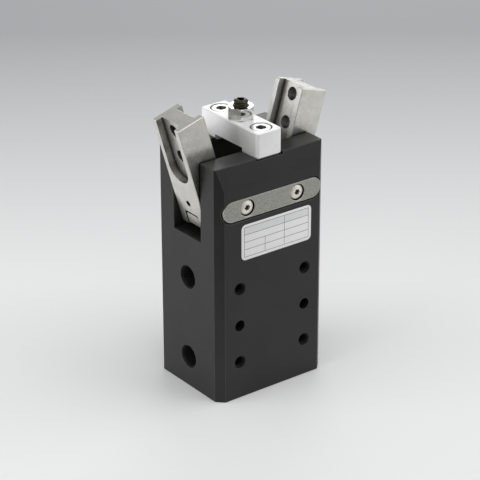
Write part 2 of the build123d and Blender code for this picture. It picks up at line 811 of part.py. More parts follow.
def piston_screw():
    """The cap screw that ties the piston to the rod from below."""
    seat = piston_web_low()
    head = round_bar((0, 0, seat), (0, 0, -1), piston_head_radius, piston_head_height)
    head -= hexagon_bar(
        piston_socket_across_flats, seat - piston_head_height - 1, seat - piston_head_height / 2
    )
    radius = piston_screw_radius - fixed_clearance
    return head + round_bar((0, 0, seat), (0, 0, 1), radius, piston_screw_length)


def raised(solid):
    """A piece of the closed rod assembly, lifted to where it is with the jaws at the rest angle."""
    return Pos(0, 0, rest_travel) * solid


# Pieces in the cylinder

def rod_bush():
    """The bronze bush that guides the rod."""
    inner = rod_radius + running_clearance
    return ring(inner, rod_radius + rod_bush_wall, rod_bush_low, rod_bush_low + rod_bush_length)


def rod_seal():
    """The lip seal round the rod, below its bush."""
    inner = rod_radius + seal_clearance
    outer = rod_radius + rod_seal_width
    height = rod_seal_height - 2 * seal_clearance
    return lip_seal(inner, outer, rod_seal_low + seal_clearance, height, lips_up=False)


def upper_bumper():
    """The cushion ring under the roof of the bore."""
    return ring(bumper_inner, bumper_outer, bore_top - upper_bumper_height, bore_top)


def lower_bumper():
    """The cushion ring on the end cover."""
    return ring(bumper_inner, bumper_outer, bore_bottom, bore_bottom + lower_bumper_height)


def end_cover():
    """The cover that closes the bore, with a groove for its seal ring and a spigot for the cushion."""
    outer = cover_radius - fixed_clearance
    low = circlip_from_base + circlip_groove_width
    spigot = bumper_inner - bumper_fit
    groove_low = low + (cover_thickness - cover_ring_groove_width) / 2
    groove_high = groove_low + cover_ring_groove_width
    groove = outer - cover_ring_section
    return turned([
        (0, low), (outer, low), (outer, groove_low), (groove, groove_low), (groove, groove_high),
        (outer, groove_high), (outer, bore_bottom), (spigot, bore_bottom),
        (spigot, bore_bottom + bumper_spigot_height), (0, bore_bottom + bumper_spigot_height),
    ])


def end_cover_seal_ring():
    """The square-section ring in the groove of the end cover, with its corners taken off."""
    outer = cover_radius - fixed_clearance
    inner = outer - cover_ring_section + fixed_clearance
    middle = circlip_from_base + circlip_groove_width + cover_thickness / 2
    half = (cover_ring_groove_width - cover_ring_play) / 2
    whole = ring(inner, outer, middle - half, middle + half)
    return chamfer(whole.edges().filter_by(GeomType.CIRCLE), cover_ring_corner)


def retaining_ring():
    """The inside circlip that holds the end cover, with two eyed lugs at its gap."""
    outer = cover_radius + circlip_groove_depth - circlip_side_clearance
    inner = outer - circlip_ring_width
    lug_distance = inner - circlip_lug_radius * 0.4
    half_angle = circlip_gap_half_angle
    gap = make_face(Polyline(
        (0, 0), polar(2 * outer, half_angle - 90), polar(2 * outer, -half_angle - 90), close=True
    ))
    face = Circle(outer) - Circle(inner) - gap
    lugs = [polar(lug_distance, side * (half_angle + circlip_lug_angle) - 90) for side in (-1, 1)]
    for lug in lugs:
        face += Pos(*lug) * Circle(circlip_lug_radius)
    for lug in lugs:
        face -= Pos(*lug) * Circle(circlip_eye_radius)
    low = circlip_from_base + circlip_groove_width - circlip_thickness
    return extrude(Pos(0, 0, low) * face, circlip_thickness)


def nodes():
    """Every piece of the gripper by its name."""
    pieces = {
        "housing": housing(),
        "pin_cover_plate": cover_plate(),
        "plate_screws": plate_screws(),
        "bridge_bar": bridge_bar(),
        "bridge_screws": bridge_screws(),
        "stop_screw": stop_screw(),
        "lock_nut": lock_nut(),
        "front_pivot_bushes": pivot_bushes(front=True),
        "rear_pivot_bushes": pivot_bushes(front=False),
        "rod_bush": rod_bush(),
        "rod_seal": rod_seal(),
        "upper_bumper": upper_bumper(),
        "lower_bumper": lower_bumper(),
        "end_cover": end_cover(),
        "end_cover_seal_ring": end_cover_seal_ring(),
        "retaining_ring": retaining_ring(),
        "rack_rod": raised(rack_rod()),
        "piston": raised(piston()),
        "piston_seals": [raised(seal) for seal in piston_seals()],
        "magnet_ring": raised(magnet_ring()),
        "piston_screw": raised(piston_screw()),
    }
    jaw_pieces = {
        "jaw": [jaw()],
        "toothed_quadrant": [quadrant()],
        "quadrant_pins": [quadrant_pin(angle, quadrant_pin_radius) for angle in quadrant_pin_angles],
        "pivot_pin": [pivot_pin()],
        "pin_lock_screw": [pin_lock_screw()],
    }
    for name, solids in jaw_pieces.items():
        pieces["left_" + name] = [placed_left(solid) for solid in solids]
        pieces["right_" + name] = [placed_right(solid) for solid in solids]
    return pieces


os.makedirs("parts", exist_ok=True)
for node_name, made in nodes().items():
    members = made if isinstance(made, list) else [made]
    solids = [solid for member in members for solid in member.solids()]
    export_step(Compound(solids), f"parts/{node_name}.step")
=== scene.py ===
import json
from math import cos, hypot, pi, radians, sin

import bmesh
import bpy
from mathutils import Matrix, Vector


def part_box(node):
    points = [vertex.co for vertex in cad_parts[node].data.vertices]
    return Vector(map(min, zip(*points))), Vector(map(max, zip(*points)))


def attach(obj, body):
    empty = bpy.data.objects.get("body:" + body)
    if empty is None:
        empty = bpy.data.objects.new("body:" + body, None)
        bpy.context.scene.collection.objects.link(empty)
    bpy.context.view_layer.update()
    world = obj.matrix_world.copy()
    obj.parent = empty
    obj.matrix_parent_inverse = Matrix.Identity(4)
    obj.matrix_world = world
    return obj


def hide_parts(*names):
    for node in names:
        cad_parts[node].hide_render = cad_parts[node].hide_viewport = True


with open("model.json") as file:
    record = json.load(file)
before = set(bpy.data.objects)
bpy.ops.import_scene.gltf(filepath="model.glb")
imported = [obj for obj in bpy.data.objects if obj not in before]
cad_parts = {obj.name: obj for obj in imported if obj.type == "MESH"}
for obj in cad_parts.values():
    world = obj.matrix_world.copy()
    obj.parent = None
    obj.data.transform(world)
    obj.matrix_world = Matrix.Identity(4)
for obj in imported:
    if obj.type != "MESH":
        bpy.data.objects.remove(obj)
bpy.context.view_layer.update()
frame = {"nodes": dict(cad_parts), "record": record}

MM = 0.001

# Places taken from the frame
housing_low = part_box("housing")[0]
front_y = housing_low.y
side_x = housing_low.x
plate_low, plate_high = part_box("pin_cover_plate")
plate_z = (plate_low.z + plate_high.z) / 2
stop_low, stop_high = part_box("stop_screw")
mounts = {mount["name"]: mount for mount in frame["record"]["mounts"]}

# The label on the front face
label_left, label_right = -15.7 * MM, 19.5 * MM
label_bottom, label_top = 61.6 * MM, 77.0 * MM
label_thickness = 0.12 * MM
label_corner = 2.0 * MM
label_edge_break = 0.042 * MM

# Its ruled fields. An upright line has its share of the width, and the rows between which it stands
label_margin = 1.3 * MM
label_line = 0.2 * MM
label_rows = 4
label_uprights = ((0.0, 0, 4), (0.32, 0, 2), (0.62, 0, 4), (1.0, 0, 4))
label_header_tint = 0.22

# Screws of the front plate: the low round head
plate_screw_x = 12.5 * MM
plate_seat_depth = 1.8 * MM
plate_head_radius = 3.05 * MM
plate_head_height = 1.55 * MM

# Its crown: rings and flat middle as shares of the radius, and the drop at the rim as one of the height
plate_head_rings = (0.14, 0.20, 0.26)
plate_head_flat_share = 0.42
plate_head_drop_share = 0.34

# Their six-lobed socket, and the dark disc of painted shade on its floor
star_lobes = 6
star_radius = 1.4 * MM
star_depth = 1.0 * MM
star_waist_share = 0.224
star_floor_radius = 1.24 * MM
star_floor_thickness = 0.1 * MM
star_floor_rim = 0.5 * MM
star_floor_hollow = 0.04 * MM
star_floor_above_seat = 0.62 * MM

# The set screw: how much further it is screwed in than its solid, its hexagon socket and its thread
stop_screw_set_in = 0.8 * MM
stop_socket_half_flats = 1.5 * MM
stop_socket_depth = 3.5 * MM
m6_pitch, m6_depth = 1.0 * MM, 0.5 * MM

# Its domed tip: height above the end of the thread, and share of the screw's radius
stop_dome = ((0.22 * MM, 0.96), (0.42 * MM, 0.97), (0.75 * MM, 0.90),
             (1.05 * MM, 0.80), (1.15 * MM, 0.72))

# Tapped holes: pitch, depth and length of the thread, then how far and how deep the mouth is countersunk
m5_tapping = (0.8 * MM, 0.4 * MM, 7.8 * MM, 0.8 * MM, 0.46 * MM)
port_tapping = (0.907 * MM, 0.45 * MM, 6.5 * MM, 0.7 * MM, 0.7 * MM)

# Thread ridges: height of a crest in a hole, as a share of the depth, and bite of the ridge into its wall
thread_crest_share = 0.55
thread_bite = 0.04 * MM
thread_below_countersink = 0.04 * MM
thread_steps = 28

# The ring of painted shade in a countersink: share of the cone left bright, height over the cone and bite
# into it
bright_rim_share = 0.16
ring_skin, ring_bite = 0.06 * MM, 0.01 * MM
ring_steps = 48

# How a piece is finished: welding distance of its corners, and the angle up to which it is smooth
weld_distance = 0.0005 * MM
smooth_angle = radians(35)

# The floor, and where painted shade darkens it along the line of sight, behind the gripper and in front
# of it
floor_size = 6.0
painted_shade_behind = (80 * MM, 420 * MM)
painted_shade_in_front = (-90 * MM, -180 * MM)

# Camera, measured in the photograph's frame of 480 by 480 pixels
view_azimuth, view_elevation, view_roll = -37.165, 25.137, -0.09
view_distance = 858.79 * MM
view_target = Vector((-0.508, 0.0, 58.817)) * MM
focal_pixels = 2101.8
frame_pixels = 480
sensor_mm = 36.0

# How the finishes read edges and relief
flat_cosine, sharp_cosine = 0.995, 0.85
relief_height = 0.05 * MM


# Shader building

class Shade:
    """A finish under construction: its nodes, its shader and the piece's own coordinates."""

    def __init__(self, name, colour, metallic, roughness, **sockets):
        self.material = bpy.data.materials.new(name)
        self.material.use_nodes = True
        self.material.diffuse_color = (*colour, 1.0)
        self.tree = self.material.node_tree
        self.shader = self.tree.nodes["Principled BSDF"]
        self.shader.inputs["Base Color"].default_value = (*colour, 1.0)
        self.shader.inputs["Metallic"].default_value = metallic
        self.shader.inputs["Roughness"].default_value = roughness
        for socket, value in sockets.items():
            self.shader.inputs[socket.replace("_", " ")].default_value = value
        self.place = self.node("ShaderNodeTexCoord").outputs["Object"]

    def node(self, kind, **values):
        """Adds one node and sets its inputs and properties by name."""
        made = self.tree.nodes.new(kind)
        for name, value in values.items():
            if name in made.inputs.keys():
                made.inputs[name].default_value = value
            else:
                setattr(made, name, value)
        return made

    def link(self, out, into):
        """Wires an output to an input."""
        self.tree.links.new(out, into)

    def stretched(self, stretch):
        """The piece's own coordinates, stretched for a pattern with a direction."""
        made = self.node("ShaderNodeMapping", Scale=stretch)
        self.link(self.place, made.inputs["Vector"])
        return made.outputs["Vector"]

    def noise(self, per_mm, detail=3.0, rough=0.6, vector=None):
        """Noise whose size is given in cycles per millimetre."""
        made = self.node("ShaderNodeTexNoise", Scale=per_mm / MM, Detail=detail, Roughness=rough)
        self.link(vector or self.place, made.inputs["Vector"])
        return made.outputs["Fac"]

    def spread(self, value, low, high, out_low=0.0, out_high=1.0):
        """Maps a value from one range to another, clamped."""
        made = self.node("ShaderNodeMapRange")
        self.link(value, made.inputs["Value"])
        ends = {"From Min": low, "From Max": high, "To Min": out_low, "To Max": out_high}
        for name, number in ends.items():
            made.inputs[name].default_value = number
        return made.outputs["Result"]

    def maths(self, operation, first, second):
        """One sum of two values, each a socket or a number."""
        made = self.node("ShaderNodeMath", operation=operation)
        for value, socket in zip((first, second), made.inputs):
            if isinstance(value, (int, float)):
                socket.default_value = value
            else:
                self.link(value, socket)
        return made.outputs["Value"]

    def blend(self, amount, first, second):
        """Mixes two colours, each a socket or an RGB triple."""
        made = self.node("ShaderNodeMix", data_type="RGBA")
        self.link(amount, made.inputs["Factor"])
        for name, value in (("A", first), ("B", second)):
            socket = next(s for s in made.inputs if s.name == name and s.type == "RGBA")
            if isinstance(value, tuple):
                socket.default_value = (*value, 1.0)
            else:
                self.link(value, socket)
        return next(s for s in made.outputs if s.type == "RGBA")

    def mottled(self, pattern, dark, pale):
        """A colour that drifts between two tones with a pattern."""
        return self.blend(self.spread(pattern, 0.35, 0.65), dark, pale)

    def uneven(self, pattern, low, high):
        """A roughness that drifts between two values with a pattern."""
        return self.spread(pattern, 0.3, 0.7, low, high)

    def edge_highlight(self, tone, radius_mm, share, highlight_colour):
        """A tone that gives way, by a share, to a paler colour along sharp edges: a painted highlight."""
        rounded = self.node("ShaderNodeBevel", samples=6, Radius=radius_mm * MM)
        plain = self.node("ShaderNodeNewGeometry")
        dot = self.node("ShaderNodeVectorMath", operation="DOT_PRODUCT")
        self.link(rounded.outputs["Normal"], dot.inputs[0])
        self.link(plain.outputs["Normal"], dot.inputs[1])
        edges = self.spread(dot.outputs["Value"], flat_cosine, sharp_cosine)
        return self.blend(self.maths("MULTIPLY", edges, share), tone, highlight_colour)

    def crevice_shade(self, reach_mm, depth, open_at=0.97, own_shape_only=False):
        """A factor that is 1 on open faces and falls, faster with more depth, in holes and pockets:
        painted shade for a colour.
        """
        made = self.node("ShaderNodeAmbientOcclusion", samples=8, only_local=own_shape_only,
                         Distance=reach_mm * MM)
        return self.maths("POWER", self.spread(made.outputs["AO"], 0.05, open_at), depth)

    def dimmed(self, colour, factor):
        """A colour multiplied by a factor."""
        made = self.node("ShaderNodeVectorMath", operation="SCALE")
        self.link(colour, made.inputs[0])
        self.link(factor, made.inputs["Scale"])
        return made.outputs["Vector"]

    def finish_with(self, colour, roughness=None, height=None, strength=0.1, soft_edge_mm=0.0):
        """Wires colour, roughness and relief into the shader and returns the material."""
        self.link(colour, self.shader.inputs["Base Color"])
        if roughness is not None:
            self.link(roughness, self.shader.inputs["Roughness"])
        if height is None:
            return self.material
        bump = self.node("ShaderNodeBump", Strength=strength, Distance=relief_height)
        self.link(height, bump.inputs["Height"])
        if soft_edge_mm:
            rounded = self.node("ShaderNodeBevel", samples=6, Radius=soft_edge_mm * MM)
            self.link(rounded.outputs["Normal"], bump.inputs["Normal"])
        self.link(bump.outputs["Normal"], self.shader.inputs["Normal"])
        return self.material


# Finishes

def black_anodised():
    """Fine-blasted aluminium, anodised black, with a painted highlight along sharp edges, and painted
    shade and more roughness in holes and slots.
    """
    shade = Shade("black_anodised", (0.012, 0.012, 0.0113), 0.0, 0.4, Specular_IOR_Level=0.37)
    grain = shade.noise(6.0, detail=2.0)
    cloud = shade.noise(0.05, detail=4.0)
    tone = shade.mottled(cloud, (0.0095, 0.0095, 0.0088), (0.0135, 0.0135, 0.0127))
    # Painted highlight: paler along sharp edges.
    tone = shade.edge_highlight(tone, 0.3, 0.8, (0.14, 0.14, 0.135))
    # Painted shade in holes and slots; the same mask also makes them rougher.
    hollow_shade_and_dullness = shade.crevice_shade(8.0, 1.6, own_shape_only=True)
    tone = shade.dimmed(tone, hollow_shade_and_dullness)
    dullness = shade.spread(hollow_shade_and_dullness, 1.0, 0.3, 0.0, 0.45)
    roughness = shade.maths("ADD", shade.uneven(grain, 0.34, 0.44), dullness)
    return shade.finish_with(tone, roughness, grain, 0.06, soft_edge_mm=0.12)


def thread_in_painted_shade():
    """Cut thread in the black block, darker and less glossy than the block: painted shade, so that a
    tapped hole looks deep.
    """
    shade = Shade("thread_black", (0.004, 0.004, 0.004), 0.0, 0.5, Specular_IOR_Level=0.12)
    grain = shade.noise(5.0, detail=2.0)
    # Painted shade: the thread is darker than the block round it.
    tone = shade.mottled(grain, (0.003, 0.003, 0.003), (0.006, 0.006, 0.006))
    return shade.finish_with(tone, shade.uneven(grain, 0.42, 0.55), grain, 0.05)


def blasted_aluminium():
    """Natural anodised aluminium with a fine even blast."""
    shade = Shade("blasted_aluminium", (0.88, 0.88, 0.88), 0.45, 0.46)
    grain = shade.noise(9.0, detail=2.0)
    cloud = shade.noise(0.12, detail=3.0)
    tone = shade.mottled(cloud, (0.87, 0.87, 0.865), (0.94, 0.94, 0.935))
    return shade.finish_with(tone, shade.uneven(grain, 0.40, 0.54), grain, 0.10, soft_edge_mm=0.14)


def ground_steel(name, colour, metallic, roughness_low, roughness_high):
    """Ground and plated steel: fine grinding lines across warm grey metal, with a painted highlight along
    sharp edges and painted shade in pockets, holes and slits.
    """
    shade = Shade(name, colour, metallic, roughness_low)
    lines = shade.noise(2.5, detail=2.0, vector=shade.stretched((0.12, 3.0, 0.12)))
    cloud = shade.noise(0.16, detail=4.0)
    pale = tuple(min(1.0, part * 1.08) for part in colour)
    dark = tuple(part * 0.93 for part in colour)
    tone = shade.mottled(cloud, dark, pale)
    # Painted highlight: paler along sharp edges.
    tone = shade.edge_highlight(tone, 0.15, 0.4, (0.80, 0.79, 0.73))
    # Painted shade: darker in pockets, holes and slits, and darkest deep inside holes and slits.
    tone = shade.dimmed(tone, shade.crevice_shade(6.5, 1.35))
    tone = shade.dimmed(tone, shade.crevice_shade(1.2, 1.5))
    tone = shade.dimmed(tone, shade.crevice_shade(6.5, 2.2, open_at=0.48))
    roughness = shade.uneven(lines, roughness_low, roughness_high)
    return shade.finish_with(tone, roughness, lines, 0.015, soft_edge_mm=0.15)


def plate_steel():
    """Matt rolled stainless sheet with a fine speckle, a painted highlight along its rim and painted
    shade in the gap round it.
    """
    shade = Shade("plate_steel", (0.30, 0.30, 0.27), 1.0, 0.5)
    speckle = shade.noise(1.9, detail=3.0, rough=0.7)
    tone = shade.mottled(speckle, (0.23, 0.23, 0.208), (0.50, 0.50, 0.452))
    # Painted highlight along the rim.
    tone = shade.edge_highlight(tone, 0.4, 1.0, (0.92, 0.92, 0.88))
    # Painted shade in the narrow gap between the plate and its recess.
    tone = shade.dimmed(tone, shade.crevice_shade(1.5, 4.0))
    return shade.finish_with(tone, shade.uneven(speckle, 0.42, 0.58), speckle, 0.15, soft_edge_mm=0.1)


def bright_zinc():
    """Bright zinc plating on small fasteners, with painted shade in their sockets and hollows."""
    shade = Shade("bright_zinc", (0.86, 0.85, 0.83), 1.0, 0.2)
    stain = shade.noise(0.7, detail=4.0)
    tone = shade.mottled(stain, (0.54, 0.537, 0.525), (0.64, 0.637, 0.625))
    # Painted shade in sockets and hollows.
    tone = shade.dimmed(tone, shade.crevice_shade(1.6, 1.2))
    return shade.finish_with(tone, shade.uneven(stain, 0.28, 0.38), stain, 0.03, soft_edge_mm=0.12)


def polished_zinc():
    """Bright plating on the lock nut, smooth enough to mirror what stands round it."""
    shade = Shade("polished_zinc", (0.80, 0.80, 0.79), 1.0, 0.08)
    stain = shade.noise(0.5, detail=2.0)
    tone = shade.mottled(stain, (0.56, 0.56, 0.555), (0.68, 0.68, 0.675))
    return shade.finish_with(tone, shade.uneven(stain, 0.05, 0.11), stain, 0.01, soft_edge_mm=0.12)


def satin_nickel():
    """Satin nickel plating with a warm tint, on the round-headed screws, with painted shade in their
    sockets and hollows.
    """
    shade = Shade("satin_nickel", (0.88, 0.84, 0.74), 0.35, 0.34)
    stain = shade.noise(0.9, detail=3.0)
    tone = shade.mottled(stain, (0.86, 0.82, 0.72), (0.92, 0.89, 0.80))
    # Painted shade in sockets and hollows.
    tone = shade.dimmed(tone, shade.crevice_shade(1.0, 0.7))
    return shade.finish_with(tone, shade.uneven(stain, 0.30, 0.42), stain, 0.03, soft_edge_mm=0.1)


def black_oxide():
    """Oiled black oxide, with a painted brown highlight along its crests and edges."""
    shade = Shade("black_oxide", (0.045, 0.036, 0.025), 1.0, 0.32)
    stain = shade.noise(1.1, detail=3.0)
    tone = shade.mottled(stain, (0.028, 0.026, 0.018), (0.070, 0.062, 0.042))
    # Painted highlight along crests and edges.
    tone = shade.edge_highlight(tone, 0.12, 0.4, (0.26, 0.24, 0.17))
    return shade.finish_with(tone, shade.uneven(stain, 0.25, 0.40), stain, 0.06)


def bearing_bronze():
    """Plain bearing bronze."""
    shade = Shade("bearing_bronze", (0.62, 0.40, 0.19), 1.0, 0.35)
    stain = shade.noise(0.6, detail=3.0)
    tone = shade.mottled(stain, (0.55, 0.34, 0.16), (0.70, 0.47, 0.24))
    return shade.finish_with(tone, shade.uneven(stain, 0.30, 0.42), stain, 0.05)


def turned_aluminium():
    """Turned aluminium: fine rings about the cylinder's axis."""
    shade = Shade("turned_aluminium", (0.70, 0.70, 0.71), 1.0, 0.35)
    rings = shade.node("ShaderNodeTexWave", wave_type="RINGS", rings_direction="Z",
                       Scale=0.9 / MM, Distortion=0.6)
    shade.link(shade.place, rings.inputs["Vector"])
    ripple = rings.outputs["Fac"]
    tone = shade.blend(ripple, (0.66, 0.66, 0.67), (0.76, 0.76, 0.77))
    return shade.finish_with(tone, shade.spread(ripple, 0.0, 1.0, 0.30, 0.40), ripple, 0.08)


def seal_rubber(name, dark, pale):
    """Moulded rubber with a dull bloom."""
    shade = Shade(name, dark, 0.0, 0.6)
    bloom = shade.noise(0.5, detail=4.0)
    return shade.finish_with(shade.mottled(bloom, dark, pale), shade.uneven(bloom, 0.5, 0.7), bloom, 0.1)


def magnet_compound():
    """Bonded magnet material."""
    shade = Shade("magnet", (0.09, 0.09, 0.09), 0.6, 0.5)
    grain = shade.noise(4.0, detail=2.0)
    tone = shade.mottled(grain, (0.07, 0.07, 0.07), (0.12, 0.12, 0.12))
    return shade.finish_with(tone, shade.uneven(grain, 0.45, 0.60), grain, 0.1)


def label_film():
    """White printed film with grey ruled fields and nothing written in them."""
    shade = Shade("label_film", (0.86, 0.86, 0.85), 0.0, 0.35)
    grain = shade.noise(2.0, detail=2.0)
    paper = shade.blend(shade.spread(grain, 0.3, 0.7), (0.84, 0.84, 0.83), (0.88, 0.88, 0.87))
    axes = shade.node("ShaderNodeSeparateXYZ")
    shade.link(shade.place, axes.inputs["Vector"])
    across, up = axes.outputs["X"], axes.outputs["Z"]

    def inside(value, low, high):
        above = shade.maths("GREATER_THAN", value, low)
        return shade.maths("MULTIPLY", above, shade.maths("LESS_THAN", value, high))

    def field(x_low, x_high, z_low, z_high):
        return shade.maths("MULTIPLY", inside(across, x_low, x_high), inside(up, z_low, z_high))

    left, right = label_left + label_margin, label_right - label_margin
    bottom, top = label_bottom + label_margin, label_top - label_margin
    row = (top - bottom) / label_rows
    levels = [bottom + step * row for step in range(label_rows + 1)]
    rules = [(left, right, level, level + label_line) for level in levels]
    for share, low_row, high_row in label_uprights:
        x = left + (right - left - label_line) * share
        rules.append((x, x + label_line, levels[low_row], levels[high_row] + label_line))
    ink = field(*rules[0])
    for rule in rules[1:]:
        ink = shade.maths("MAXIMUM", ink, field(*rule))
    header = shade.maths("MULTIPLY", field(left, right, levels[-2], top), label_header_tint)
    paper = shade.blend(header, paper, (0.30, 0.31, 0.33))
    tone = shade.blend(ink, paper, (0.10, 0.10, 0.11))
    return shade.finish_with(tone, shade.uneven(grain, 0.30, 0.42), grain, 0.03)


finishes = {
    "black_anodised": black_anodised(),
    "blasted_aluminium": blasted_aluminium(),
    "jaw_steel": ground_steel("jaw_steel", (0.65, 0.64, 0.60), 0.85, 0.24, 0.34),
    "hardened_steel": ground_steel("hardened_steel", (0.63, 0.62, 0.57), 0.85, 0.26, 0.38),
    "plate_steel": plate_steel(),
    "bright_zinc": bright_zinc(),
    "black_oxide": black_oxide(),
    "bearing_bronze": bearing_bronze(),
    "turned_aluminium": turned_aluminium(),
    "seal_rubber": seal_rubber("seal_rubber", (0.020, 0.020, 0.020), (0.034, 0.034, 0.034)),
    "bumper_rubber": seal_rubber("bumper_rubber", (0.26, 0.13, 0.05), (0.34, 0.19, 0.08)),
    "magnet": magnet_compound(),
}
own_finishes = {"lock_nut": polished_zinc()}
painted_shade_thread_finish = thread_in_painted_shade()
plate_screw_finish = satin_nickel()


def dress_nodes():
    """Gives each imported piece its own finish, or else that of its material slot."""
    for part in frame["record"]["subparts"]:
        mesh = frame["nodes"][part["node"]].data
        mesh.materials.clear()
        mesh.materials.append(own_finishes.get(part["node"], finishes[part["material_slot"]]))


# Modelling by hand

def start_piece():
    """Leaves edit mode and deselects everything, so that an operator acts on the new piece alone."""
    if bpy.context.object and bpy.context.object.mode != "OBJECT":
        bpy.ops.object.mode_set(mode="OBJECT")
    bpy.ops.object.select_all(action="DESELECT")


def take(piece):
    """Makes a piece the only one selected, and the active one."""
    start_piece()
    piece.select_set(True)
    bpy.context.view_layer.objects.active = piece


def edit(piece, mode="FACE"):
    """Opens a piece in edit mode with nothing selected."""
    take(piece)
    bpy.ops.object.mode_set(mode="EDIT")
    bpy.ops.mesh.select_mode(type=mode)
    bpy.ops.mesh.select_all(action="DESELECT")


def pick(piece, kind, test):
    """Selects the faces, edges or vertices that pass a test."""
    mesh = bmesh.from_edit_mesh(piece.data)
    for item in getattr(mesh, kind):
        item.select_set(test(item))
    mesh.select_flush_mode()
    bmesh.update_edit_mesh(piece.data)


def edit_top(piece):
    """Opens a piece in edit mode with only its top face selected."""
    edit(piece)
    pick(piece, "faces", lambda f: f.normal.z > 0.9)


def join(piece, other):
    """Makes another piece a part of this one."""
    take(piece)
    other.select_set(True)
    bpy.ops.object.join()


def settle(piece, name, body, material):
    """Ends the modelling: place into the mesh, outward normals, finish, body and slot."""
    take(piece)
    bpy.ops.object.transform_apply(location=True, rotation=True, scale=True)
    bpy.ops.object.mode_set(mode="EDIT")
    bpy.ops.mesh.select_all(action="SELECT")
    bpy.ops.mesh.remove_doubles(threshold=weld_distance)
    bpy.ops.mesh.normals_make_consistent(inside=False)
    bpy.ops.object.mode_set(mode="OBJECT")
    bpy.ops.object.shade_smooth_by_angle(angle=smooth_angle)
    piece.name = name
    piece.data.name = name
    piece.data.materials.clear()
    piece.data.materials.append(material)
    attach(piece, body)
    return piece


def turn_to(piece, direction, place):
    """Turns a piece made along Z so that Z points along a direction, and moves it to its place."""
    turn = Vector((0, 0, 1)).rotation_difference(Vector(direction)).to_matrix().to_4x4()
    piece.data.transform(Matrix.Translation(Vector(place)) @ turn)


def round_bar(vertices, radius, length, middle_z):
    """A bar about Z, round or with flats, with its place in its mesh."""
    start_piece()
    bpy.ops.mesh.primitive_cylinder_add(vertices=vertices, radius=radius, depth=length,
                                        location=(0, 0, middle_z))
    bpy.ops.object.transform_apply(location=True, rotation=True, scale=True)
    return bpy.context.object


def turned(section, steps, rise=0.0, turns=1):
    """A section given in X and Z, turned about Z, with a rise for each turn of a screw."""
    start_piece()
    bpy.ops.mesh.primitive_circle_add(vertices=len(section), radius=MM)
    piece = bpy.context.object
    for corner, (x, z) in zip(piece.data.vertices, section):
        corner.co = (x, 0.0, z)
    spin = piece.modifiers.new("spin", "SCREW")
    spin.axis = "Z"
    spin.screw_offset = rise
    spin.iterations = turns
    spin.steps = steps
    spin.render_steps = steps
    take(piece)
    bpy.ops.object.modifier_apply(modifier=spin.name)
    return piece


def cut_with(piece, cutter):
    """Cuts one piece with another and removes the cutter."""
    take(piece)
    cut = piece.modifiers.new("socket", "BOOLEAN")
    cut.operation = "DIFFERENCE"
    cut.solver = "EXACT"
    cut.object = cutter
    bpy.ops.object.modifier_apply(modifier=cut.name)
    bpy.data.objects.remove(cutter)


def rating_label():
    """The sticker on the front face, with round corners and a fine cut edge."""
    start_piece()
    middle = ((label_left + label_right) / 2, front_y - label_thickness / 2,
              (label_bottom + label_top) / 2)
    bpy.ops.mesh.primitive_cube_add(size=1.0, location=middle)
    piece = bpy.context.object
    piece.scale = (label_right - label_left, label_thickness, label_top - label_bottom)
    bpy.ops.object.transform_apply(location=True, rotation=True, scale=True)
    edit(piece, "EDGE")
    pick(piece, "edges", lambda e: abs(e.verts[0].co.y - e.verts[1].co.y) > label_thickness / 2)
    bpy.ops.mesh.bevel(offset=label_corner, segments=8)
    bpy.ops.mesh.select_all(action="DESELECT")
    pick(piece, "edges", lambda e: all(v.co.y < front_y - label_thickness * 0.9 for v in e.verts)
         and len(e.link_faces) == 2 and abs(e.link_faces[0].normal.dot(e.link_faces[1].normal)) < 0.5)
    bpy.ops.mesh.bevel(offset=label_edge_break, segments=2)
    settle(piece, "rating_label", "housing", label_film())


def star_cutter():
    """A six-lobed bar for cutting a star socket, made from a round one."""
    piece = round_bar(star_lobes * 8, star_radius, 2 * star_depth, plate_head_height)
    for corner in piece.data.vertices:
        angle = Vector((corner.co.x, corner.co.y)).angle_signed(Vector((1, 0)), 0.0)
        ripple = 1.0 - star_waist_share * (1.0 - cos(star_lobes * angle)) / 2
        corner.co.x *= ripple
        corner.co.y *= ripple
    return piece


def plate_screw(side, name):
    """A low round-headed screw with a six-lobed socket, seated in the front plate."""
    piece = round_bar(64, plate_head_radius, plate_head_height, plate_head_height / 2)
    edit_top(piece)
    for share in plate_head_rings:
        bpy.ops.mesh.inset(thickness=plate_head_radius * share)
    bpy.ops.object.mode_set(mode="OBJECT")
    flat = plate_head_radius * plate_head_flat_share
    for corner in piece.data.vertices:
        if corner.co.z > plate_head_height * 0.9:
            reach = hypot(corner.co.x, corner.co.y)
            share = max(0.0, (reach - flat) / (plate_head_radius - flat))
            corner.co.z -= plate_head_height * plate_head_drop_share * share ** 2
    cut_with(piece, star_cutter())
    turn_to(piece, (0, -1, 0), (side * plate_screw_x, front_y + plate_seat_depth, plate_z))
    return settle(piece, name, "housing", plate_screw_finish)


def socket_shade_disc(side, name):
    """A dark disc at the bottom of a star socket, just above the cut's own floor: painted shade."""
    piece = round_bar(36, star_floor_radius, star_floor_thickness, 0)
    edit_top(piece)
    bpy.ops.mesh.inset(thickness=star_floor_rim, depth=-star_floor_hollow)
    bpy.ops.object.mode_set(mode="OBJECT")
    depth_y = front_y + plate_seat_depth - star_floor_above_seat
    turn_to(piece, (0, -1, 0), (side * plate_screw_x, depth_y, plate_z))
    settle(piece, name, "housing", finishes["black_oxide"])


def thread_ridge(radius, crest, pitch, length):
    """A helical ridge of triangular section about Z, closed at both ends. It starts at Z zero."""
    root = radius + (thread_bite if crest < radius else -thread_bite)
    section = ((root, 0.95 * pitch), (root, 0.05 * pitch), (crest, 0.5 * pitch))
    piece = turned(section, thread_steps, rise=pitch, turns=max(1, int(length / pitch) - 1))
    edit(piece, "EDGE")
    bpy.ops.mesh.select_non_manifold()
    bpy.ops.mesh.fill()
    bpy.ops.object.mode_set(mode="OBJECT")
    return piece


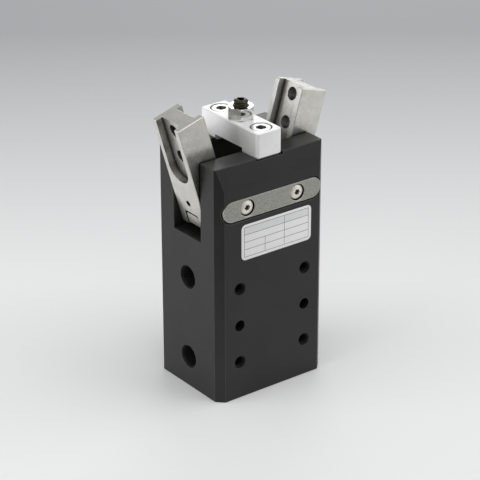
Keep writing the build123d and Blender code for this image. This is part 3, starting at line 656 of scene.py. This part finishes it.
def countersink_shade_ring(hole_radius, widening, depth, sink):
    """A dark ring laid on a countersink: painted shade on its cut surface, up to the bright rim that it
    leaves at the mouth.
    """
    wide = hole_radius + widening * (1 - bright_rim_share)
    upper, lower = depth * bright_rim_share - sink, depth - sink
    section = ((wide - ring_skin, upper), (hole_radius - ring_skin, lower),
               (hole_radius + ring_bite, lower), (wide + ring_bite, upper))
    return turned(section, ring_steps)


def hole_thread(name, mouth, inward, hole_radius, tapping):
    """The thread inside one tapped hole, in painted shade, which starts below its countersunk mouth, and
    a ring of painted shade in that mouth.
    """
    pitch, depth, length, widening, countersink = tapping
    sink = countersink + thread_below_countersink
    piece = thread_ridge(hole_radius, hole_radius - depth * thread_crest_share, pitch, length)
    join(piece, countersink_shade_ring(hole_radius, widening, countersink, sink))
    turn_to(piece, inward, Vector(mouth) + Vector(inward) * sink)
    settle(piece, name, "housing", painted_shade_thread_finish)


def tapped_holes():
    """Threads in the tapped holes of both wide faces, of the base and of the ports."""
    for name in ("front_bolts", "rear_bolts", "base_bolts"):
        mount = mounts[name]
        out = Vector(mount["axis"])
        centre = Vector(mount["pos_m"])
        half_x = mount["dims"]["spacing_x_mm"] / 2 * MM
        half_y = mount["dims"]["spacing_y_mm"] / 2 * MM
        second = Vector((0, 1, 0)) if abs(out.z) > 0.5 else Vector((0, 0, 1))
        radius = mount["dims"]["hole_r_mm"] * MM
        corners = [(across, along) for across in (-half_x, half_x) for along in (-half_y, half_y)]
        for number, (across, along) in enumerate(corners, 1):
            mouth = centre + Vector((across, 0, 0)) + second * along
            hole_thread(f"{name}_thread_{number}", mouth, -out, radius, m5_tapping)
    for name in ("lower_air_port", "upper_air_port"):
        mount = mounts[name]
        mouth = (side_x, 0, mount["pos_m"][2])
        hole_thread(f"{name}_thread", mouth, (1, 0, 0), mount["dims"]["r_mm"] * MM, port_tapping)


def stop_screw():
    """The set screw: a core with a domed tip and a hexagon socket, and its thread."""
    radius = (stop_high.x - stop_low.x) / 2
    core_radius = radius - m6_depth
    length = stop_high.z - stop_low.z - stop_dome[-1][0] - stop_screw_set_in
    core = round_bar(48, core_radius, length, stop_low.z + length / 2)
    edit_top(core)
    heights = [0.0] + [height for height, share in stop_dome]
    for low, high in zip(heights, heights[1:]):
        bpy.ops.mesh.extrude_region_move(TRANSFORM_OT_translate={"value": (0, 0, high - low)})
    bpy.ops.object.mode_set(mode="OBJECT")
    for corner in core.data.vertices:
        for height, share in stop_dome:
            if abs(corner.co.z - stop_low.z - length - height) < 0.01 * MM:
                corner.co.x *= radius * share / core_radius
                corner.co.y *= radius * share / core_radius
    tip_z = stop_high.z - stop_screw_set_in
    cut_with(core, round_bar(6, stop_socket_half_flats / cos(pi / 6), 2 * stop_socket_depth, tip_z))
    ridge = thread_ridge(core_radius, radius, m6_pitch, length)
    ridge.data.transform(Matrix.Translation((0, 0, stop_low.z + length % m6_pitch + 0.5 * m6_pitch)))
    join(core, ridge)
    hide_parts("stop_screw")
    settle(core, "stop_screw_threaded", "housing", finishes["black_oxide"])


# Stage

def build_stage():
    """A pale floor with painted shade that darkens it gently behind the gripper and in front of it."""
    start_piece()
    bpy.ops.mesh.primitive_plane_add(size=floor_size, location=(0, 0, 0))
    floor = bpy.context.object
    floor.name = "floor"
    shade = Shade("pale_floor", (0.75, 0.75, 0.76), 0.0, 0.8)
    axes = shade.node("ShaderNodeSeparateXYZ")
    shade.link(shade.place, axes.inputs["Vector"])
    heading = radians(-view_azimuth)
    away = shade.maths("ADD", shade.maths("MULTIPLY", axes.outputs["X"], sin(heading)),
                       shade.maths("MULTIPLY", axes.outputs["Y"], cos(heading)))
    # Painted shade: the floor fades darker far behind the gripper.
    tone = shade.blend(shade.spread(away, *painted_shade_behind), (0.87, 0.87, 0.87), (0.41, 0.413, 0.425))
    # Painted shade in front of the gripper, below the frame, which darkens what the black faces mirror.
    tone = shade.blend(shade.spread(away, *painted_shade_in_front), tone, (0.20, 0.20, 0.20))
    floor.data.materials.append(shade.finish_with(tone))


def area_light(name, place, aim, size, power):
    """A soft rectangular lamp that points at a place."""
    lamp = bpy.data.lights.new(name, "AREA")
    lamp.shape = "RECTANGLE"
    lamp.size, lamp.size_y = size
    lamp.energy = power
    holder = bpy.data.objects.new(name, lamp)
    holder.location = place
    holder.rotation_euler = (Vector(aim) - Vector(place)).to_track_quat("-Z", "Y").to_euler()
    bpy.context.scene.collection.objects.link(holder)


def build_light():
    """Soft lamps on the left, in front on the right and behind, and a broad one overhead."""
    aim = (0, 0, 0.06)
    area_light("left_lamp", (-0.88, 0.22, 0.28), aim, (1.0, 0.6), 5.2)
    area_light("right_lamp", (0.75, -0.55, 0.55), aim, (1.1, 1.1), 3.5)
    area_light("top_lamp", (0.0, -0.35, 1.0), aim, (1.3, 1.0), 3.4)
    area_light("back_lamp", (0.70, 0.85, 0.43), aim, (0.6, 0.32), 2.2)
    world = bpy.data.worlds.new("studio")
    world.use_nodes = True
    bpy.context.scene.world = world
    background = world.node_tree.nodes["Background"]
    background.inputs["Color"].default_value = (0.98, 0.99, 1.0, 1.0)
    background.inputs["Strength"].default_value = 0.45


def build_camera():
    """The photograph's viewpoint."""
    azimuth, elevation = radians(view_azimuth), radians(view_elevation)
    back = Vector((sin(azimuth) * cos(elevation), -cos(azimuth) * cos(elevation), sin(elevation)))
    camera = bpy.data.cameras.new("camera")
    camera.sensor_width = sensor_mm
    camera.lens = focal_pixels * sensor_mm / frame_pixels
    camera.clip_start = 0.01
    holder = bpy.data.objects.new("camera", camera)
    turn = back.to_track_quat("Z", "Y").to_matrix().to_4x4() @ Matrix.Rotation(radians(view_roll), 4, "Z")
    holder.matrix_world = Matrix.Translation(view_target + back * view_distance) @ turn
    bpy.context.scene.collection.objects.link(holder)
    bpy.context.scene.camera = holder


build_camera()
build_light()
build_stage()
dress_nodes()
rating_label()
screw_left = plate_screw(-1, "plate_screw_left")
screw_right = plate_screw(1, "plate_screw_right")
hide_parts("plate_screws")
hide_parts("plate_screws")
socket_shade_disc(-1, "plate_socket_left")
socket_shade_disc(1, "plate_socket_right")
tapped_holes()
stop_screw()

bpy.context.scene.view_settings.view_transform = "Standard"
